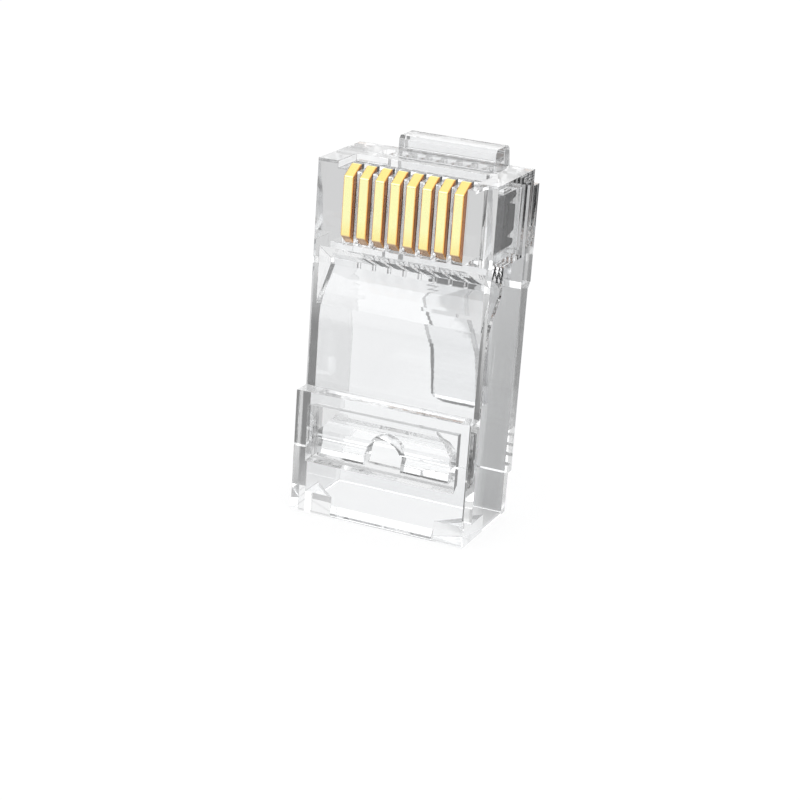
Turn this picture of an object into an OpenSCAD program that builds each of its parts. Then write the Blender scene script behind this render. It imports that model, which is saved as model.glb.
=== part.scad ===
// Clear eight-way modular cable plug, standing on its cable end.
// X is the width, -Y the contact side, +Y the latch side, +Z points at the nose.

/* [Body] */
// Width of the body
body_w = 11.68; // [11:0.02:12.4]
// Length from the cable end to the nose
body_l = 22.4; // [21.6:0.1:24]
// Thickness of the front section, from contact face to latch face
body_t = 6.6; // [6.4:0.05:7]
// Length of the deep section at the cable end
rear_l = 8; // [7.4:0.1:8.6]
// How far the deep section stands out on the contact side
rear_step = 1.25; // [1:0.05:1.5]
// Length of the set-back foot on the latch side
foot_l = 2.65; // [1.5:0.05:2.8]
// How far the foot is set back on the latch side
foot_step = 0.6; // [0.3:0.05:0.65]
// Length of the set-back nose on the latch side
nose_l = 1.05; // [0.8:0.05:1.3]
// How far the nose is set back on the latch side
nose_step = 0.6; // [0.4:0.05:0.8]
// Chamfer along the lower front edge
edge_chamfer = 0.2; // [0.1:0.05:0.4]

/* [Guide rails] */
// Length of the guide rails beside the latch
rail_l = 6.65; // [5.5:0.05:7]
// Height of the guide rails
rail_t = 0.4; // [0.2:0.05:0.5]

/* [Cable cavity] */
// Thickness of each side wall
side_wall = 0.48; // [0.4:0.02:0.6]
// Thickness of the wall on the latch side
back_wall = 0.9; // [0.85:0.05:1.2]
// Thickness of the wall on the contact side, in the front section
front_wall = 0.52; // [0.45:0.01:0.6]
// Width of the gusset in each contact-side corner of the mouth
corner_w = 1.85; // [1:0.05:2]
// Depth of the gusset in each contact-side corner of the mouth
corner_t = 1.95; // [0.8:0.05:2.2]
// Height of the gussets over the cable end
corner_h = 1; // [0.6:0.1:2]
// Lead-in chamfer along the mouth's contact-side edge
mouth_chamfer = 0.45; // [0.2:0.05:0.6]
// Radius of the bend in the contact-side wall, where it turns along the trough's ramp
bend_r = 3.4; // [2:0.1:4]

/* [Window] */
// Width of the window for the strain relief bar
window_w = 10.06; // [9.6:0.02:10.1]
// Height of the window
window_h = 3.75; // [3.5:0.05:3.9]
// Height of the window's lower edge over the cable end
window_z = 3.45; // [3.4:0.05:3.6]
// How much the window narrows from its outer to its inner edge, at each side
window_draft = 0.22; // [0.1:0.01:0.24]

/* [Conductor trough] */
// Height at which the trough's ramp leaves the contact face
trough_low_z = 13.35; // [13:0.05:13.6]
// Height of the deepest line of the trough
trough_deep_z = 15.45; // [15.2:0.05:15.6]
// Height of the trough's upper edge
trough_top_z = 17; // [16.9:0.02:17.1]
// Depth of the trough
trough_t = 1.8; // [1.5:0.05:1.9]
// Thickness of the wall left at each end of the trough
trough_wall = 0.39; // [0.35:0.01:0.5]

/* [Contacts] */
// Number of contacts
contact_count = 8; // [8]
// Spacing of the contacts
pitch = 1.02; // [1:0.01:1.03]
// Thickness of one contact blade
contact_t = 0.65; // [0.4:0.01:0.68]
// Length of one contact blade along the plug
contact_l = 4.84; // [4.6:0.02:4.9]
// Depth of one contact blade, from its front edge to the piercing tips
contact_d = 5; // [4.7:0.05:5.05]
// How far the open blades stand out of the contact face
contact_proud = 0.45; // [0.35:0.01:0.6]
// How far the blades travel when they are pressed home
contact_travel = 1.1; // [0.9:0.05:1.1]
// Clearance between a blade and each wall of its slot
slot_gap = 0.02; // [0.02:0.005:0.04]
// Distance of the slot floors from the nose
slot_l = 5.08; // [5:0.02:5.2]
// Depth of the relief in the nose over the slots
comb_drop = 0.45; // [0.3:0.05:0.6]
// Width of the relief in the nose over the slots
comb_w = 9; // [8.6:0.05:9.2]
// Length of the relief, from the contact face
comb_d = 2.55; // [2.3:0.05:2.8]
// Width of the shallow groove across the nose
groove_w = 0.2; // [0.1:0.02:0.3]
// Distance of the groove behind the relief
groove_back = 0.9; // [0.6:0.05:1.2]

/* [Wire channels] */
// Bore of one wire channel
channel_bore = 0.92; // [0.8:0.01:0.94]
// Height at which the channels leave the cavity
channel_z = 17; // [16.6:0.05:17.05]
// Distance of the channels' blind ends from the nose
channel_end = 1; // [0.9:0.05:1.4]

/* [Strain relief bar] */
// Length of the bar across the plug
bar_w = 8.9; // [8.4:0.05:9.1]
// Height of the bar, without its hinge web
bar_h = 2.3; // [2:0.05:2.4]
// Thickness of the bar
bar_t = 1.2; // [1:0.05:1.3]
// Depth of the gripping teeth on the bar's outer side
tooth_t = 0.35; // [0.2:0.05:0.45]
// Height of the hinge web over the bar
web_l = 0.65; // [0.5:0.05:0.7]
// Radius of the saddle in the bar's lower edge
saddle_r = 1.25; // [1:0.05:1.3]
// Radius of the bar's hinge
bar_hinge_r = 0.2; // [0.15:0.01:0.25]

/* [Latch] */
// Width of the latch at its root and shoulders
latch_w = 6.5; // [6:0.05:6.6]
// Width of the thumb tab
tab_w = 3.2; // [3:0.05:3.4]
// Length of the latch from its root to the end of the tab
latch_l = 18.7; // [17:0.1:19.2]
// Length of the wide part, from the root to the shoulders
shoulder_l = 8.6; // [8.2:0.05:9]
// Thickness of the latch at its root
latch_t = 0.86; // [0.8:0.02:0.95]
// Thickness of the latch at its shoulders
shoulder_t = 1.45; // [1.2:0.05:1.6]
// Thickness of the thumb tab
tab_t = 1; // [0.8:0.05:1.1]
// Angle of the latch at rest
latch_angle = 12; // [10:0.5:13]
// How far the latch root stands over the nose
root_proud = 0.75; // [0.6:0.05:0.85]
// Reach of the root behind the nose, to the hinge line
root_reach = 1.85; // [1.7:0.05:2]

/* [Hidden] */
$fn = 48;

clear_plastic = [0.86, 0.89, 0.91, 0.45];
gold = [0.93, 0.72, 0.26];

// One overrun serves every cut and every hidden joint between two forms
overrun = 0.1;
// Running clearance round the two moulded hinges
hinge_gap = 0.04;
// Clearance between the latch and the guide rails
rail_gap = 0.3;
// Flats in the half round at the latch's hinge line
round_steps = 16;
// Flats in the bend of the cavity's contact-side wall
bend_steps = 10;

// Faces of the body
face_y = -body_t / 2;
back_y = body_t / 2;
rear_y = face_y - rear_step;
nose_z = body_l - nose_l;
nose_y = back_y - nose_step;
foot_y = back_y - foot_step;

// Faces of the cable cavity
cavity_w = body_w - 2 * side_wall;
cavity_front_y = face_y + front_wall;
cavity_back_y = back_y - back_wall;

// Slots, blades and wire channels
slot_w = contact_t + 2 * slot_gap;
slot_z = body_l - slot_l;
blade_front_y = face_y - contact_proud;
blade_tip_y = blade_front_y + contact_d;
blade_bottom_z = slot_z + contact_proud / 5;
blade_top_z = blade_bottom_z + contact_l;
neck_share = 0.3;
blade_neck_y = blade_front_y + contact_d * neck_share;
tip_room = 0.15;
slot_deep_y = blade_tip_y + contact_travel + tip_room;
comb_y = face_y + comb_d;
slot_top_y = max(comb_y - slot_w / 2, blade_neck_y + contact_travel + tip_room / 2);
channel_y = cavity_back_y - channel_bore / 2 - tip_room / 2;
channel_top_z = body_l - channel_end;

// Latch hinge line
latch_hinge_y = nose_y + root_reach;
latch_hinge_z = body_l + root_proud - latch_t / 2;

// Strain relief bar hinge line
window_top_z = window_z + window_h;
bar_hinge_z = window_top_z - bar_hinge_r - hinge_gap - window_draft;
bar_hinge_y = face_y - bar_hinge_r;

// Stretches a profile drawn in Y and Z evenly along X
module along_x(length) {
    rotate([90, 0, 90]) linear_extrude(length, center = true) children();
}

// Copies its children to every contact position
module at_contacts() {
    for (i = [0 : contact_count - 1]) translate([contact_x(i), 0, 0]) children();
}

function contact_x(i) = (i - (contact_count - 1) / 2) * pitch;

// Outer form of the body, with the deep cable end and the set-back nose
module body_block() {
    along_x(body_w) polygon([
        [face_y, body_l],
        [face_y, rear_l],
        [rear_y, rear_l],
        [rear_y, edge_chamfer],
        [rear_y + edge_chamfer, 0],
        [foot_y, 0],
        [foot_y, foot_l],
        [back_y, foot_l],
        [back_y, nose_z],
        [nose_y, nose_z],
        [nose_y, body_l]
    ]);
}

// Guide rails on the latch side, one at each side of the latch
module guide_rails() {
    rail_in = latch_w / 2 + rail_gap;
    rail_w = body_w / 2 - rail_in;
    for (side = [-1, 1]) translate([side * (rail_in + rail_w / 2), 0, 0]) along_x(rail_w) polygon([
        [back_y - overrun, nose_z - rail_l],
        [back_y, nose_z - rail_l],
        [back_y + rail_t, nose_z - rail_l + rail_t],
        [back_y + rail_t, nose_z],
        [back_y - overrun, nose_z]
    ]);
}

// Latch root, hollowed at its end round the latch's hinge line
module latch_root() {
    root_top_z = body_l + root_proud;
    root_low_z = root_top_z - latch_t;
    root_end_y = latch_hinge_y - latch_t / 2 - hinge_gap;
    difference() {
        along_x(latch_w) polygon([
            [nose_y - overrun, nose_z - overrun],
            [back_y, nose_z - overrun],
            [back_y, root_low_z - latch_t / 2],
            [back_y + latch_t / 2, root_low_z],
            [root_end_y, root_low_z],
            [root_end_y, latch_hinge_z],
            [latch_hinge_y, latch_hinge_z],
            [latch_hinge_y, root_top_z],
            [nose_y + latch_t / 4, root_top_z],
            [nose_y, root_top_z - latch_t / 4],
            [nose_y, body_l - overrun],
            [nose_y - overrun, body_l - overrun]
        ]);
        translate([0, latch_hinge_y, latch_hinge_z]) rotate([0, 90, 0])
            cylinder(h = latch_w + 2 * overrun, r = latch_t / 2 + hinge_gap, center = true);
    }
}

// Plan of the cable cavity at its mouth, with a gusset in each contact-side corner
module mouth_plan() {
    half_w = cavity_w / 2;
    half_edge = half_w - corner_w;
    polygon([
        [-half_w, cavity_back_y],
        [-half_w, cavity_front_y + corner_t],
        [-half_edge, cavity_front_y],
        [-half_edge, cavity_front_y - mouth_chamfer],
        [half_edge, cavity_front_y - mouth_chamfer],
        [half_edge, cavity_front_y],
        [half_w, cavity_front_y + corner_t],
        [half_w, cavity_back_y]
    ]);
}

// Cable cavity, narrowing along the trough to the wire channels
module cavity() {
    // Its contact-side wall bends to run parallel to the trough's ramp, one wall behind it
    ramp_rise = trough_deep_z - trough_low_z;
    ramp_len = norm([trough_t, ramp_rise]);
    bend_z = trough_low_z + front_wall * (ramp_rise - ramp_len) / trough_t;
    bend_angle = atan2(trough_t, ramp_rise);
    bend_low_z = bend_z - bend_r * tan(bend_angle / 2);
    intersection() {
        union() {
            translate([0, 0, -overrun]) linear_extrude(corner_h + overrun) mouth_plan();
            translate([-cavity_w / 2, cavity_front_y, corner_h]) cube([cavity_w, body_t, channel_z]);
        }
        along_x(body_w) polygon(concat(
            [
                [cavity_front_y - mouth_chamfer, -overrun],
                [cavity_front_y - mouth_chamfer, 0],
                [cavity_front_y, mouth_chamfer]
            ],
            [for (k = [0 : bend_steps]) let (a = k * bend_angle / bend_steps)
                [cavity_front_y + bend_r * (1 - cos(a)), bend_low_z + bend_r * sin(a)]
            ],
            [
                [cavity_front_y + trough_t, bend_z + ramp_rise],
                [cavity_front_y + trough_t, channel_z],
                [cavity_back_y, channel_z],
                [cavity_back_y, -overrun]
            ]
        ));
    }
}

// Window over the strain relief bar, narrowing inwards
module window() {
    reach_y = cavity_front_y + overrun;
    outer_y = rear_y - overrun;
    intersection() {
        along_x(window_w) polygon([
            [outer_y, window_z],
            [rear_y, window_z],
            [reach_y, window_z + window_draft],
            [reach_y, window_top_z - window_draft],
            [rear_y, window_top_z],
            [outer_y, window_top_z]
        ]);
        linear_extrude(rear_l) polygon([
            [-window_w / 2, outer_y],
            [-window_w / 2, rear_y],
            [window_draft - window_w / 2, reach_y],
            [window_w / 2 - window_draft, reach_y],
            [window_w / 2, rear_y],
            [window_w / 2, outer_y]
        ]);
    }
}

// Trough across the contact face, with a long ramp towards the cable end
module trough() {
    along_x(body_w - 2 * trough_wall) polygon([
        [face_y - overrun, trough_low_z],
        [face_y, trough_low_z],
        [face_y + trough_t, trough_deep_z],
        [face_y + trough_t, trough_deep_z + trough_wall],
        [face_y + trough_t / 2, trough_top_z - trough_t / 3],
        [face_y, trough_top_z],
        [face_y - overrun, trough_top_z]
    ]);
    at_contacts() notch();
}

// Small notch over the deepest line of the trough, one at each wire
module notch() {
    notch_w = contact_t / 3;
    translate([-notch_w / 2, face_y + trough_t - overrun, trough_deep_z])
        cube([notch_w, notch_w + overrun, trough_wall]);
}

// Relief in the nose that the slots open into
module comb_relief() {
    translate([-comb_w / 2, face_y - overrun, body_l - comb_drop])
        cube([comb_w, comb_d + overrun, comb_drop + overrun]);
}

// Slot for one contact blade, deeper behind its piercing tips
module slot() {
    along_x(slot_w) polygon([
        [face_y - overrun, slot_z],
        [slot_deep_y, slot_z],
        [slot_deep_y, channel_top_z],
        [slot_top_y, channel_top_z],
        [slot_top_y, body_l + overrun],
        [face_y - overrun, body_l + overrun]
    ]);
}

// Blind wire channel, with a small lead-in from the cavity
module channel() {
    lead_in = (pitch - channel_bore) / 2;
    translate([0, channel_y, channel_z - overrun])
        cylinder(h = channel_top_z - channel_z + overrun, d = channel_bore);
    translate([0, channel_y, channel_z - overrun])
        cylinder(h = channel_bore / 2 + overrun, d1 = channel_bore + lead_in, d2 = channel_bore);
}

// Shallow groove across the nose, behind the slots
module nose_groove() {
    translate([-comb_w / 2, comb_y + groove_back, body_l - groove_w / 2])
        cube([comb_w, groove_w, groove_w / 2 + overrun]);
}

module housing() {
    color(clear_plastic) difference() {
        union() {
            body_block();
            guide_rails();
            latch_root();
        }
        cavity();
        window();
        trough();
        comb_relief();
        nose_groove();
        at_contacts() slot();
        at_contacts() channel();
    }
}

// Side profile of the latch, hanging straight down from its hinge line and rounded over it
module latch_profile() {
    arm_y = latch_t / 2;
    shoulder_y = shoulder_t - arm_y;
    tab_y = tab_t - arm_y;
    polygon(concat(
        [for (a = [0 : 180 / round_steps : 180]) arm_y * [cos(a), sin(a)]],
        [
            [-arm_y, -shoulder_l / 2],
            [-shoulder_y, -shoulder_l + latch_t],
            [-shoulder_y, -shoulder_l],
            [-tab_y, -shoulder_l - shoulder_y],
            [-tab_y, -latch_l + tab_t],
            [tab_t / 4, -latch_l],
            [arm_y + tab_t / 2, -latch_l],
            [arm_y, -latch_l + tab_t / 2]
        ]
    ));
}

// Front outline of the latch: wide to the shoulders, then the thumb tab
module latch_outline() {
    corner = tab_w / 6;
    polygon([
        [-latch_w / 2, latch_t],
        [-latch_w / 2, -shoulder_l],
        [-tab_w / 2 - corner, -shoulder_l],
        [-tab_w / 2, -shoulder_l - corner],
        [-tab_w / 2, -latch_l + corner],
        [corner - tab_w / 2, -latch_l],
        [tab_w / 2 - corner, -latch_l],
        [tab_w / 2, -latch_l + corner],
        [tab_w / 2, -shoulder_l - corner],
        [tab_w / 2 + corner, -shoulder_l],
        [latch_w / 2, -shoulder_l],
        [latch_w / 2, latch_t]
    ]);
}

module latch() {
    color(clear_plastic) translate([0, latch_hinge_y, latch_hinge_z]) rotate([latch_angle, 0, 0])
        intersection() {
            along_x(latch_w + 2 * overrun) latch_profile();
            rotate([90, 0, 0]) linear_extrude(4 * shoulder_t, center = true) latch_outline();
        }
}

// Side profile of the strain relief bar, with two teeth on its outer side
module bar_profile() {
    tooth_count = 2;
    tooth_h = bar_h / tooth_count;
    outer_y = -bar_t / 2;
    inner_y = bar_t / 2;
    low_z = -web_l - bar_h;
    polygon(concat(
        [
            [bar_hinge_r, 0],
            [bar_hinge_r, -web_l / 2],
            [inner_y, -web_l],
            [inner_y, low_z + tooth_t],
            [inner_y - tooth_t, low_z]
        ],
        [for (k = [tooth_count : -1 : 1], p = [0 : 2])
            p == 0 ? [outer_y, -web_l - k * tooth_h]
            : p == 1 ? [outer_y, -web_l - (k - 1 / 2) * tooth_h]
            : [outer_y + tooth_t, -web_l - (k - 1) * tooth_h]
        ],
        [
            [-bar_hinge_r, -web_l],
            [-bar_hinge_r, 0]
        ]
    ));
}

// Front outline of the bar, narrower at its web and rounded under its middle for the cable
module bar_outline() {
    half_w = bar_w / 2;
    web_half_w = half_w - bar_h / 2;
    low_z = -web_l - bar_h;
    difference() {
        polygon([
            [-half_w, low_z],
            [-half_w, -web_l - bar_h / 4],
            [-web_half_w, 0],
            [web_half_w, 0],
            [half_w, -web_l - bar_h / 4],
            [half_w, low_z]
        ]);
        translate([0, low_z + saddle_r / 2]) circle(saddle_r);
        translate([-saddle_r, low_z - saddle_r / 2]) square([2 * saddle_r, saddle_r]);
    }
}

module strain_relief_bar() {
    color(clear_plastic) translate([0, bar_hinge_y, bar_hinge_z]) union() {
        rotate([0, 90, 0]) cylinder(h = bar_w - bar_h, r = bar_hinge_r, center = true);
        intersection() {
            along_x(bar_w) bar_profile();
            rotate([90, 0, 0]) linear_extrude(2 * bar_t, center = true) bar_outline();
        }
    }
}

// Side profile of one blade: bevelled front edge, shorter shank and three tips parted by two pointed notches
module blade_profile() {
    bevel_share = 0.195;
    notch_depth_share = 0.21;
    notch_place_share = 0.305;
    bevel_y = contact_d * bevel_share;
    bevel_z = bevel_y * 3 / 5;
    shank_z = blade_bottom_z + contact_l / 10;
    neck_z = channel_top_z - 2 * slot_gap;
    shank_h = neck_z - shank_z;
    tip_flank = shank_h / 18;
    notch_flank = shank_h / 14;
    notch_y = blade_tip_y - contact_d * notch_depth_share;
    polygon(concat(
        [
            [blade_neck_y, blade_top_z],
            [blade_front_y + bevel_y, blade_top_z],
            [blade_front_y, blade_top_z - bevel_z],
            [blade_front_y, blade_bottom_z + bevel_z],
            [blade_front_y + bevel_y * 3 / 4, blade_bottom_z],
            [blade_neck_y, blade_bottom_z],
            [blade_neck_y, shank_z],
            [blade_tip_y - tip_flank, shank_z],
            [blade_tip_y, shank_z + tip_flank]
        ],
        [for (side = [-1, 1], p = [-1, 0, 1])
            let (middle = shank_z + shank_h / 2 + side * shank_h * notch_place_share)
            [p == 0 ? notch_y : blade_tip_y, middle + p * notch_flank]
        ],
        [
            [blade_tip_y, neck_z - tip_flank],
            [blade_tip_y - tip_flank, neck_z],
            [blade_neck_y, neck_z]
        ]
    ));
}

// One contact blade, counted from the left as seen from the contact side
module contact(i) {
    color(gold) translate([contact_x(i), 0, 0]) along_x(contact_t) blade_profile();
}

housing();
latch();
strain_relief_bar();
contact(0);  // contact_1
contact(1);  // contact_2
contact(2);  // contact_3
contact(3);  // contact_4
contact(4);  // contact_5
contact(5);  // contact_6
contact(6);  // contact_7
contact(7);  // contact_8
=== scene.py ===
import bpy
import math
from mathutils import Matrix, Vector


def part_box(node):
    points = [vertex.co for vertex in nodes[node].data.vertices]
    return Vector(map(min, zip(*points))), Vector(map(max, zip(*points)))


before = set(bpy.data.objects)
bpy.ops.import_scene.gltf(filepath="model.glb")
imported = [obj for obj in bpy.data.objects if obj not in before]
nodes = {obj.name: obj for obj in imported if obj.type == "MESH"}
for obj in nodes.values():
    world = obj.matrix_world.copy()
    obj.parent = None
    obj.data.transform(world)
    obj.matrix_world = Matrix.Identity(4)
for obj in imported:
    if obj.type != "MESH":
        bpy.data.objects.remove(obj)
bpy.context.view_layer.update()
MM = 0.001
WHITE = (1.0, 1.0, 1.0)
BLACK = (0.0, 0.0, 0.0)

# Camera, fitted to the body's corners in the photograph. Angles are in degrees, lengths in mm
VIEW_AZIMUTH = 22.7779
VIEW_ELEVATION = 19.0485
VIEW_ROLL = 4.0875
VIEW_DISTANCE = 128.3469
VIEW_CENTRE = (0, 0, 11.2 * MM)
VIEW_LEFT = 1.0188
VIEW_DOWN = 3.7975
FOCAL_PIXELS = 2064.1837
PICTURE_PIXELS = 800
SENSOR = 36

# Clear plastic
PLASTIC_TINT = (0.955, 0.96, 0.965)
PLASTIC_SHADOW = (0.93, 0.94, 0.95)
PLASTIC_IOR = 1.585
FLOW_SCALE = (900, 900, 180)
GRAIN_SCALE = 9000
GRAIN_SHARE = 0.12
FLOW_BUMP = 0.06
FLOW_BUMP_DISTANCE = 0.06 * MM
GLOSS_SPREAD = 0.02
GLOSS_BASE = 0.004
PLASTIC_RADIUS = 0.018 * MM

# Contacts. The first colour of each pair is where the noise is low. The gold is painted as lit and shaded
# copies chosen by facing, and the nickel and shank are painted dark as shade
GOLD_FRONT_PAINTED_LIT = ((1.0, 0.985, 0.46), (1.0, 1.0, 0.58))
GOLD_TOP_PAINTED_SHADE = ((1.0, 0.84, 0.26), (1.0, 0.93, 0.40))
GOLD_LOW_PAINTED_SHADE = (1.0, 0.87, 0.36)
GOLD_RIM_PAINTED_SHEEN = (1.0, 0.50, 0.13)
UNDERSIDE_PAINTED_SHADE = ((0.66, 0.42, 0.26), (0.84, 0.60, 0.42))
SIDE_PAINTED_SHADE = ((0.48, 0.17, 0.06), (0.66, 0.30, 0.13))
NICKEL_AND_PAINTED_SHADE = ((0.15, 0.15, 0.155), (0.21, 0.21, 0.215))
SHANK_PAINTED_SHADE = ((0.05, 0.05, 0.052), (0.075, 0.075, 0.077))
DRAWN_SCALE = (5000, 5000, 420)
CLOUD_SCALE = 500
METAL_ROUGHNESS = [(0.3, 0.25), (0.7, 0.29)]
METAL_BUMP = 0.02
METAL_BUMP_DISTANCE = 0.02 * MM
PLATING_DEPTH = 1.1 * MM
SHANK_DEPTH = 3.1 * MM
PLATING_EDGE = 0.08 * MM
PLATING_WANDER = 0.1 * MM
LOW_BAND_TOP = 0.6 * MM
LOW_BAND = 1.1 * MM
TOP_SLOPE = 1.15
UNDER_SLOPE = -1.5
RIM_SLOPE = 1.8
SIDE_SHADE_EDGE = (2.5, -1.5)
CONTACTS = 8
CONTACT_RADIUS = 0.075 * MM
CONTACT_SEGMENTS = 4

# Floor, with the dark card that the camera doesn't see. Each edge is a slope per metre and an offset, and
# runs from 0 to 1. The sight line runs from the camera past the front edge of the right wall
FLOOR_HALF = 0.6
FLOOR_DROP = 0.02 * MM
FLOOR_MATT = (0.9, 0.9, 0.9)
FLOOR_GLOW = 1.03
FLOOR_GLOW_SHARE = 0.75
CARD_SIDE = (150.0, 1.3)
CARD_FRONT = (150.0, 0.5)
CARD_FADE = (-60.0, 3.1)
DIM_LEFT = (-150.0, -0.9)
DIM_AHEAD = (-150.0, -0.5)
SIGHT_LINE = 0.3723
SIGHT_EDGE = (1500.0, -6.6)
LOSS_OUTSIDE = 0.9
LOSS_INSIDE = 0.35
LOSS_CARD = 0.45
LOSS_AHEAD = 0.3
LOSS_THROUGH = 0.3

# Sky brightness from straight down, at 0, to straight up, at 1
SKY = [(0.0, 0.03), (0.49, 0.05), (0.58, 0.32), (0.66, 0.95), (1.0, 1.0)]
LAMP_AIM = Vector((0, 0, 10 * MM))
BOUNCES = 64
TRANSPARENT_BOUNCES = 16


# Camera, at the photograph's viewing angle
def make_camera():
    az, el, roll = (math.radians(a) for a in (VIEW_AZIMUTH, VIEW_ELEVATION, VIEW_ROLL))
    back = Vector((math.sin(az) * math.cos(el), -math.cos(az) * math.cos(el), math.sin(el)))
    right = (-back).cross(Vector((0, 0, 1))).normalized()
    up = right.cross(-back)
    cam_x = math.cos(roll) * right + math.sin(roll) * up
    cam_y = -math.sin(roll) * right + math.cos(roll) * up
    target = Vector(VIEW_CENTRE) - VIEW_LEFT * MM * cam_x - VIEW_DOWN * MM * cam_y
    data = bpy.data.cameras.new("camera")
    data.sensor_width = SENSOR
    data.lens = FOCAL_PIXELS / PICTURE_PIXELS * SENSOR
    data.clip_start = 5 * MM
    data.clip_end = 20
    cam = bpy.data.objects.new("camera", data)
    bpy.context.scene.collection.objects.link(cam)
    turn = Matrix((cam_x, cam_y, back)).transposed().to_4x4()
    cam.matrix_world = Matrix.Translation(target + VIEW_DISTANCE * MM * back) @ turn
    bpy.context.scene.camera = cam


# Small helpers for node trees
class Tree:
    def __init__(self, owner):
        owner.use_nodes = True
        self.tree = owner.node_tree
        self.tree.nodes.clear()

    def node(self, kind, **settings):
        made = self.tree.nodes.new(kind)
        for name, value in settings.items():
            setattr(made, name, value)
        return made

    def link(self, a, b):
        self.tree.links.new(a, b)

    def math(self, operation, a, b=None, c=None, clamp=False):
        n = self.node("ShaderNodeMath", operation=operation, use_clamp=clamp)
        for socket, value in zip(n.inputs, (a, b, c)):
            if value is None:
                continue
            if isinstance(value, (int, float)):
                socket.default_value = value
            else:
                self.link(value, socket)
        return n.outputs[0]

    def times(self, a, b):
        return self.math("MULTIPLY", a, b)

    def edge(self, place, slope, offset=0.0):
        """A soft edge: 0 on one side, 1 on the other."""
        return self.math("MULTIPLY_ADD", place, slope, offset, clamp=True)

    def ramp(self, value, stops):
        n = self.node("ShaderNodeValToRGB")
        marks = n.color_ramp.elements
        while len(marks) < len(stops):
            marks.new(1.0)
        for mark, (place, level) in zip(marks, stops):
            mark.position = place
            mark.color = (level, level, level, 1)
        self.link(value, n.inputs[0])
        return n.outputs[0]

    def mix(self, share, a, b):
        n = self.node("ShaderNodeMix", data_type="RGBA")
        self.link(share, n.inputs[0])
        for socket, colour in ((n.inputs[6], a), (n.inputs[7], b)):
            if isinstance(colour, tuple):
                socket.default_value = (*colour, 1)
            else:
                self.link(colour, socket)
        return n.outputs[2]

    def mix_shaders(self, share, a, b):
        n = self.node("ShaderNodeMixShader")
        for socket, value in zip(n.inputs, (share, a, b)):
            self.link(value, socket)
        return n.outputs[0]

    def noise(self, where, scale, detail):
        n = self.node("ShaderNodeTexNoise")
        n.inputs["Scale"].default_value = scale
        n.inputs["Detail"].default_value = detail
        n.inputs["Roughness"].default_value = 0.55
        self.link(where, n.inputs["Vector"])
        return n.outputs["Fac"]

    def stretched(self, where, scale, shift=(0, 0, 0)):
        n = self.node("ShaderNodeMapping")
        n.inputs["Location"].default_value = shift
        n.inputs["Scale"].default_value = scale
        self.link(where, n.inputs["Vector"])
        return n.outputs[0]

    def parts(self, vector):
        n = self.node("ShaderNodeSeparateXYZ")
        self.link(vector, n.inputs[0])
        return n.outputs

    def bump(self, height, strength, distance):
        n = self.node("ShaderNodeBump")
        n.inputs["Strength"].default_value = strength
        n.inputs["Distance"].default_value = distance
        self.link(height, n.inputs["Height"])
        return n.outputs[0]

    def plain(self, kind, colour):
        n = self.node(kind)
        n.inputs["Color"].default_value = (*colour, 1)
        return n

    def path(self, name):
        return self.node("ShaderNodeLightPath").outputs[name]

    def coords(self, name):
        return self.node("ShaderNodeTexCoord").outputs[name]

    def finish(self, shader, kind="ShaderNodeOutputMaterial"):
        self.link(shader, self.node(kind).inputs["Surface"])


def seen_rays(t):
    """1 for rays that should meet the plain white floor: camera, glossy and transmission rays."""
    shiny = t.math("MAXIMUM", t.path("Is Camera Ray"), t.path("Is Glossy Ray"))
    return t.math("MAXIMUM", shiny, t.path("Is Transmission Ray"))


def clear_plastic(name, drift=(0, 0, 0)):
    """Clear moulded polycarbonate: faint flow marks in the bump, slightly uneven gloss, light shadows."""
    mat = bpy.data.materials.new(name)
    t = Tree(mat)
    place = t.coords("Object")
    flow = t.noise(t.stretched(place, FLOW_SCALE, drift), 1.0, 3)
    grain = t.noise(place, GRAIN_SCALE, 2)
    height = t.math("ADD", flow, t.times(grain, GRAIN_SHARE))
    shader = t.node("ShaderNodeBsdfPrincipled")
    shader.inputs["Base Color"].default_value = (*PLASTIC_TINT, 1)
    shader.inputs["IOR"].default_value = PLASTIC_IOR
    shader.inputs["Transmission Weight"].default_value = 1.0
    t.link(t.math("MULTIPLY_ADD", flow, GLOSS_SPREAD, GLOSS_BASE), shader.inputs["Roughness"])
    t.link(t.bump(height, FLOW_BUMP, FLOW_BUMP_DISTANCE), shader.inputs["Normal"])
    shade = t.plain("ShaderNodeBsdfTransparent", PLASTIC_SHADOW)
    t.finish(t.mix_shaders(t.path("Is Shadow Ray"), shader.outputs[0], shade.outputs[0]))
    return mat


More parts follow.
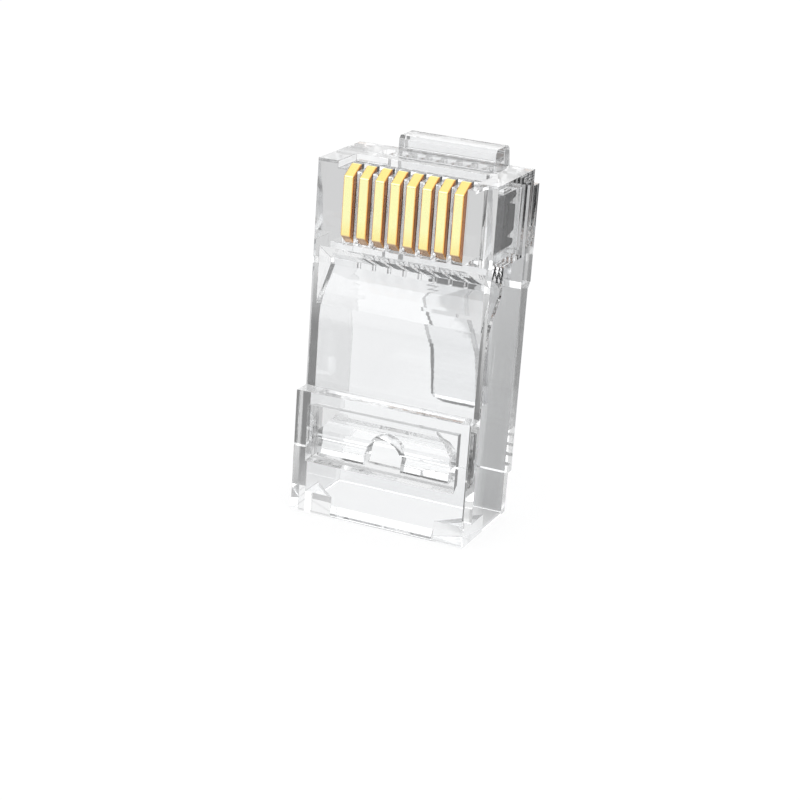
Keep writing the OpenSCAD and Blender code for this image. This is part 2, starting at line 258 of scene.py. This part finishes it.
def plated_blade(name, plated_to, shank_from, low_z):
    """Stamped contact blades: gold in front of y = plated_to, nickel behind it, darker behind shank_from. The
    nickel and the darker part behind it are painted dark as shade.

    The gold is painted as lit and shaded copies by facing: the front edges pale and bright as painted light,
    the tops and the low fronts warmer as painted shade, the rounded rims with a painted orange sheen, and the
    undersides and sides copper-brown as painted shade."""
    mat = bpy.data.materials.new(name)
    t = Tree(mat)
    facing = t.parts(t.coords("Normal"))
    place = t.coords("Object")
    where = t.parts(place)
    drawn = t.noise(t.stretched(place, DRAWN_SCALE), 1.0, 2)
    cloud = t.noise(place, CLOUD_SCALE, 2)

    # Painted light: the front edges are painted pale and bright, as lit gold
    front = t.mix(cloud, *GOLD_FRONT_PAINTED_LIT)
    # Painted shade: the fronts turn warmer and darker towards the bottom
    low = t.edge(where["Z"], -1 / LOW_BAND, low_z / LOW_BAND + 1)
    front = t.mix(low, front, GOLD_LOW_PAINTED_SHADE)
    # Painted shade: faces turned upwards get a warmer, darker copy of the gold
    colour = t.mix(t.edge(facing["Z"], TOP_SLOPE), front, t.mix(cloud, *GOLD_TOP_PAINTED_SHADE))
    # Painted shade: faces turned downwards are painted copper-brown
    colour = t.mix(t.edge(facing["Z"], UNDER_SLOPE), colour, t.mix(drawn, *UNDERSIDE_PAINTED_SHADE))
    side = t.math("ABSOLUTE", facing["X"])
    # Painted sheen: the rounded rims between front and sides are painted orange
    colour = t.mix(t.edge(side, RIM_SLOPE), colour, GOLD_RIM_PAINTED_SHEEN)
    # Painted shade: faces turned sideways are painted dark copper-brown
    colour = t.mix(t.edge(side, *SIDE_SHADE_EDGE), colour, t.mix(drawn, *SIDE_PAINTED_SHADE))
    # Nickel plating behind the gold, painted much darker than nickel as shade
    depth = t.math("ADD", where["Y"], t.times(cloud, PLATING_WANDER))
    # Painted shade: darker still, near black, behind shank_from
    for start, metal in ((plated_to, NICKEL_AND_PAINTED_SHADE), (shank_from, SHANK_PAINTED_SHADE)):
        behind = t.edge(depth, 1 / PLATING_EDGE, -start / PLATING_EDGE)
        colour = t.mix(behind, colour, t.mix(drawn, *metal))

    shader = t.node("ShaderNodeBsdfPrincipled")
    shader.inputs["Metallic"].default_value = 1.0
    t.link(colour, shader.inputs["Base Color"])
    t.link(t.ramp(cloud, METAL_ROUGHNESS), shader.inputs["Roughness"])
    t.link(t.bump(cloud, METAL_BUMP, METAL_BUMP_DISTANCE), shader.inputs["Normal"])
    t.finish(shader.outputs[0])
    return mat


def dress(node, mat):
    node.data.materials.clear()
    node.data.materials.append(mat)


def soften(node, width, segments=2, clamp=True):
    """Tiny mould radii on the CAD node's edges, as a modifier stack."""
    weld = node.modifiers.new("weld", "WELD")
    weld.merge_threshold = 0.002 * MM
    flat = node.modifiers.new("flat", "DECIMATE")
    flat.decimate_type = "DISSOLVE"
    flat.angle_limit = math.radians(0.5)
    edge = node.modifiers.new("edge", "BEVEL")
    edge.width = width
    edge.segments = segments
    edge.limit_method = "ANGLE"
    edge.angle_limit = math.radians(30)
    edge.use_clamp_overlap = clamp
    edge.miter_outer = "MITER_SHARP"


def dress_plug():
    # The last values shift the flow marks, so that no two mouldings share them
    for node, name, drift in (
        ("housing", "clear_housing", (0, 0, 0)),
        ("latch", "clear_latch", (3, 1, 2)),
        ("strain_relief_bar", "clear_bar", (7, 5, 1)),
    ):
        dress(nodes[node], clear_plastic(name, drift))
        soften(nodes[node], PLASTIC_RADIUS, clamp=False)
    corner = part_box("contact_1")[0]
    face_y, low_z = corner[1], corner[2]
    plated = plated_blade("gold_plate", face_y + PLATING_DEPTH, face_y + SHANK_DEPTH, low_z + LOW_BAND_TOP)
    for i in range(CONTACTS):
        contact = nodes[f"contact_{i + 1}"]
        dress(contact, plated)
        soften(contact, CONTACT_RADIUS, CONTACT_SEGMENTS)


def card_loss(t):
    """How much of the floor's light the dark card takes, from 0 to 1.

    Light mirrored on the outside meets the card beside and behind the plug. Light that was mirrored
    inside the plastic is dimmed everywhere, and more by the card and ahead on the left. Light that went
    straight through is dimmed where the right wall shows the floor."""
    where = t.parts(t.coords("Object"))
    turned = t.math("MINIMUM", t.path("Glossy Depth"), 1.0)
    went_in = t.math("MINIMUM", t.path("Transmission Depth"), 1.0)
    mirrored = t.times(turned, went_in)
    outside = t.math("SUBTRACT", turned, mirrored)
    straight = t.math("SUBTRACT", went_in, mirrored)
    behind = t.edge(where["Y"], *CARD_FRONT)
    card = t.times(t.edge(where["X"], *CARD_SIDE), behind)
    near_card = t.times(card, t.edge(where["Y"], *CARD_FADE))
    ahead = t.times(t.edge(where["X"], *DIM_LEFT), t.edge(where["Y"], *DIM_AHEAD))
    across = t.math("MULTIPLY_ADD", where["Y"], SIGHT_LINE, where["X"])
    past_wall = t.times(t.edge(across, *SIGHT_EDGE), behind)
    inside = t.math("MULTIPLY_ADD", near_card, LOSS_CARD, LOSS_INSIDE)
    inside = t.math("MULTIPLY_ADD", ahead, LOSS_AHEAD, inside)
    loss = t.math("ADD", t.times(t.times(card, LOSS_OUTSIDE), outside), t.times(mirrored, inside))
    return t.math("MULTIPLY_ADD", t.times(past_wall, straight), LOSS_THROUGH, loss)


def make_floor():
    """Plain pale floor that keeps a light shadow of the object."""
    half = FLOOR_HALF
    mesh = bpy.data.meshes.new("floor")
    corners = [(-half, -half, 0), (half, -half, 0), (half, half, 0), (-half, half, 0)]
    mesh.from_pydata(corners, [], [(0, 1, 2, 3)])
    floor = bpy.data.objects.new("floor", mesh)
    floor.location.z = -FLOOR_DROP
    bpy.context.scene.collection.objects.link(floor)
    mat = bpy.data.materials.new("pale_floor")
    t = Tree(mat)
    matt = t.plain("ShaderNodeBsdfDiffuse", FLOOR_MATT)
    glow = t.plain("ShaderNodeEmission", WHITE)
    glow.inputs["Strength"].default_value = FLOOR_GLOW
    dark = t.plain("ShaderNodeEmission", BLACK)
    glow_share = t.times(seen_rays(t), FLOOR_GLOW_SHARE)
    pale = t.mix_shaders(glow_share, matt.outputs[0], glow.outputs[0])
    t.finish(t.mix_shaders(card_loss(t), pale, dark.outputs[0]))
    mesh.materials.append(mat)


def make_world():
    """A studio that is white to the camera and from above. It is dark low down, to draw the plastic's edges."""
    world = bpy.data.worlds.new("studio")
    bpy.context.scene.world = world
    t = Tree(world)
    rise = t.math("MULTIPLY_ADD", t.parts(t.coords("Generated"))["Z"], 0.5, 0.5)
    light = t.node("ShaderNodeBackground")
    light.inputs["Strength"].default_value = 1.0
    t.link(t.mix(t.path("Is Camera Ray"), t.ramp(rise, SKY), WHITE), light.inputs["Color"])
    t.finish(light.outputs[0], "ShaderNodeOutputWorld")


def make_lamp(name, place, size, watts, through_plastic):
    data = bpy.data.lights.new(name, "AREA")
    data.shape = "RECTANGLE"
    data.size, data.size_y = size
    data.energy = watts
    lamp = bpy.data.objects.new(name, data)
    bpy.context.scene.collection.objects.link(lamp)
    lamp.visible_transmission = through_plastic
    lamp.location = place
    lamp.rotation_mode = "QUATERNION"
    lamp.rotation_quaternion = (LAMP_AIM - Vector(place)).to_track_quat("-Z", "Y")


make_camera()
dress_plug()
make_floor()
make_world()
make_lamp("key", (-0.12, -0.22, 0.26), (0.3, 0.3), 0.4, False)
make_lamp("softbox", (-0.146, 0.348, 0.15), (0.34, 0.16), 0.16, True)

scene = bpy.context.scene
scene.view_settings.view_transform = "Standard"
scene.cycles.max_bounces = BOUNCES
scene.cycles.transmission_bounces = BOUNCES
scene.cycles.glossy_bounces = BOUNCES
scene.cycles.transparent_max_bounces = TRANSPARENT_BOUNCES
